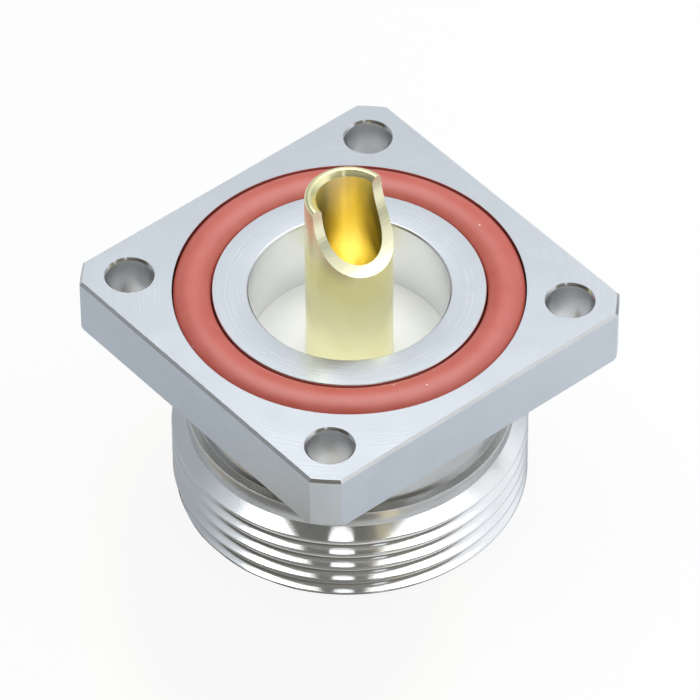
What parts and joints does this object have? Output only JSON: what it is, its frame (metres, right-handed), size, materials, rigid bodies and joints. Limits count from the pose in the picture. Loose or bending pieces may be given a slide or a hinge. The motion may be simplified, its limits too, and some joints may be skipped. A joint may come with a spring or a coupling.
{
  "type": "coaxial connector",
  "caption": "Panel-mount coaxial jack with a square flange, ring seal in the flange face, solder cup at the rear and a threaded mating barrel with a slotted socket.",
  "frame": {"origin": "centre of the bolt pattern on the flange's seal face, on the connector axis", "axes": "+Z along the connector axis towards the solder cup; -Y is the way the cup's open side faces; X and Y along the flange sides"},
  "size_m": [0.032, 0.032, 0.0307],
  "materials": {
    "plated_body": "silvery satin plating on brass",
    "silicone": "matt brick-red silicone",
    "bead": "white waxy fluoropolymer",
    "gold": "pale gold plating"
  },
  "bodies": {
    "root": {"body": "plated_body", "flange_gasket": "silicone", "insulator": "bead", "centre_contact": "gold"}
  },
  "joints": []
}
